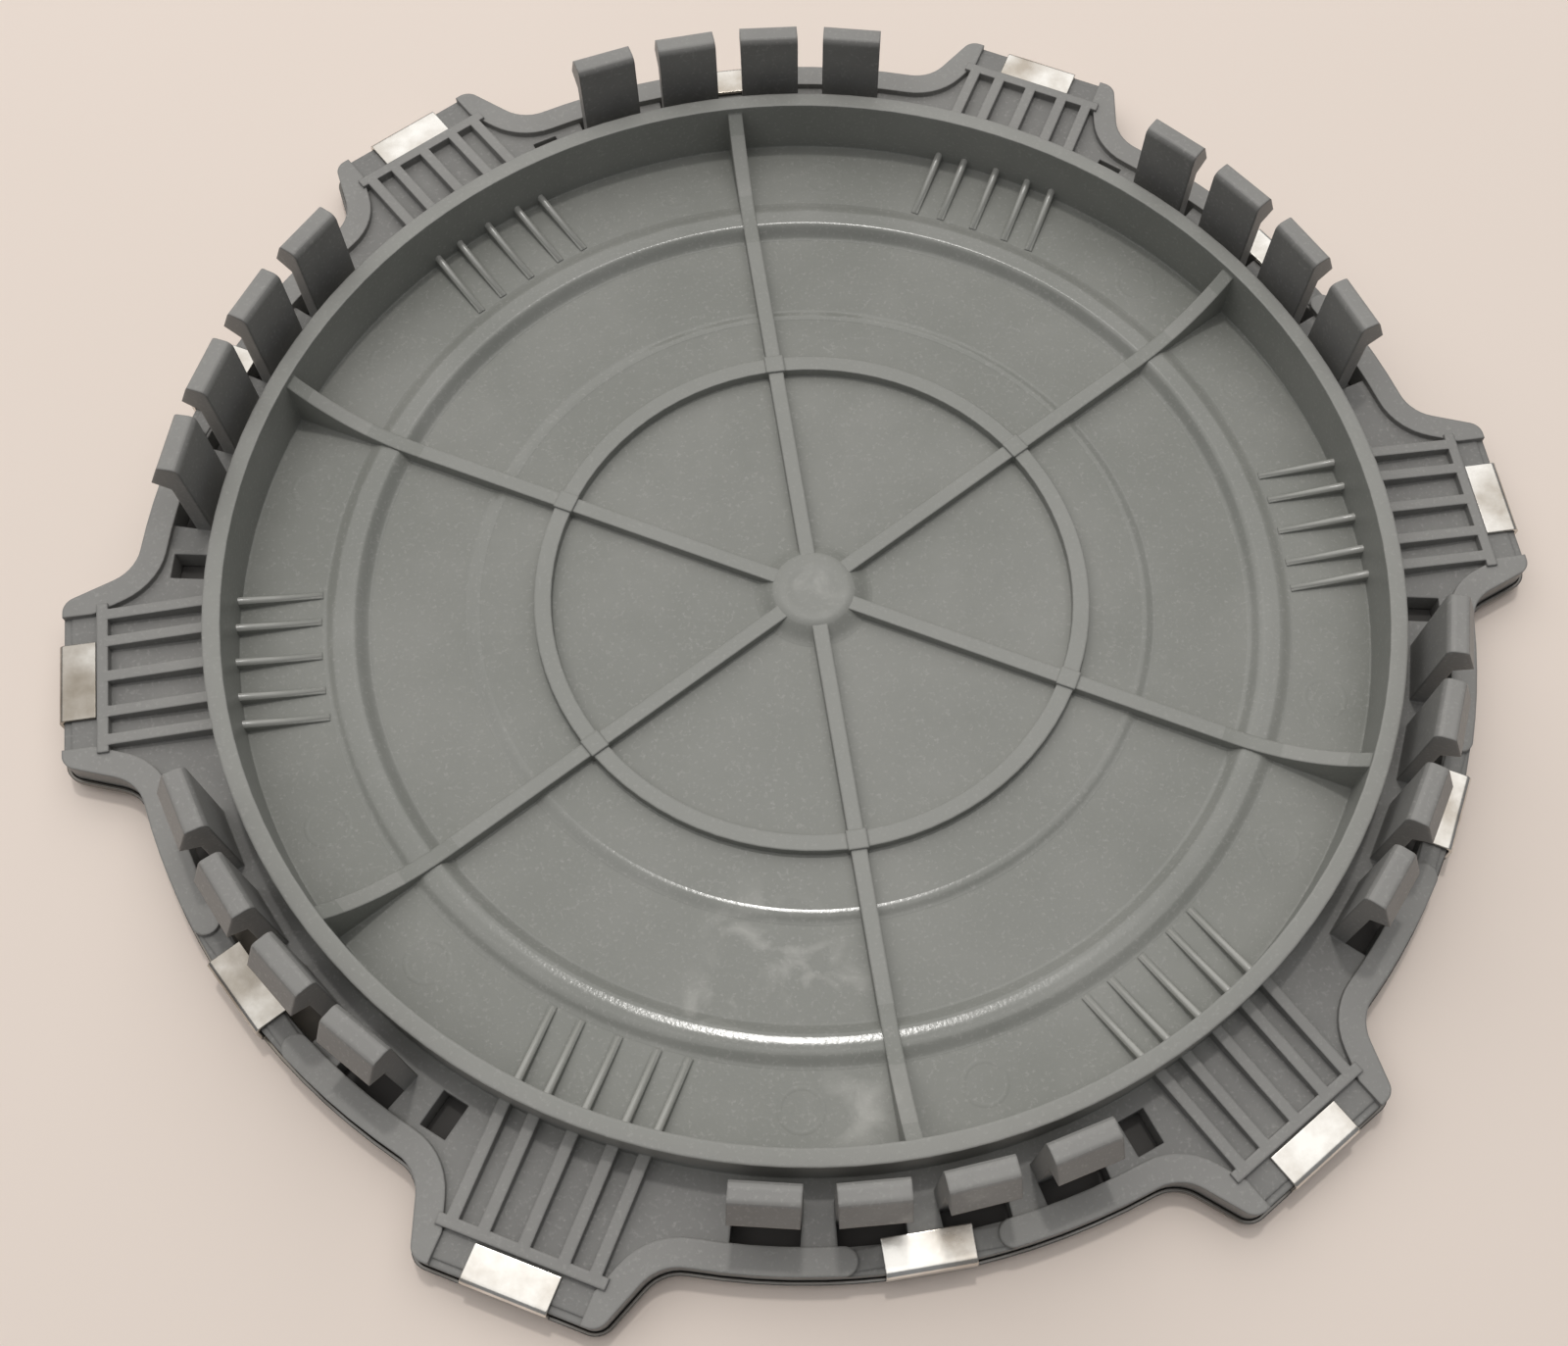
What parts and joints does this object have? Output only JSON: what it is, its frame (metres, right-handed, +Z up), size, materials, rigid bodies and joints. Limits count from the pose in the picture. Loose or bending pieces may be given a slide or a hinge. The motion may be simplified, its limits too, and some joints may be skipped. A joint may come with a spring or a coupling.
{
  "type": "wheel center cap",
  "caption": "Lobed wheel center cap: a dished, ribbed plastic moulding with a ring wall and a ring of snap fingers, faced with a thin metal skin folded over its rim.",
  "frame": {"origin": "where the cap's axis meets the surface its face lies on", "axes": "+Z up out of the cap's back, along the snap fingers; +X through the middle of a lobe"},
  "size_m": [0.2072, 0.191, 0.0209],
  "materials": {
    "moulded_plastic": "satin moulded grey",
    "bright_metal": "bright polished sheet"
  },
  "bodies": {
    "root": {"moulded_body": "moulded_plastic", "face_skin": "bright_metal"}
  },
  "joints": []
}
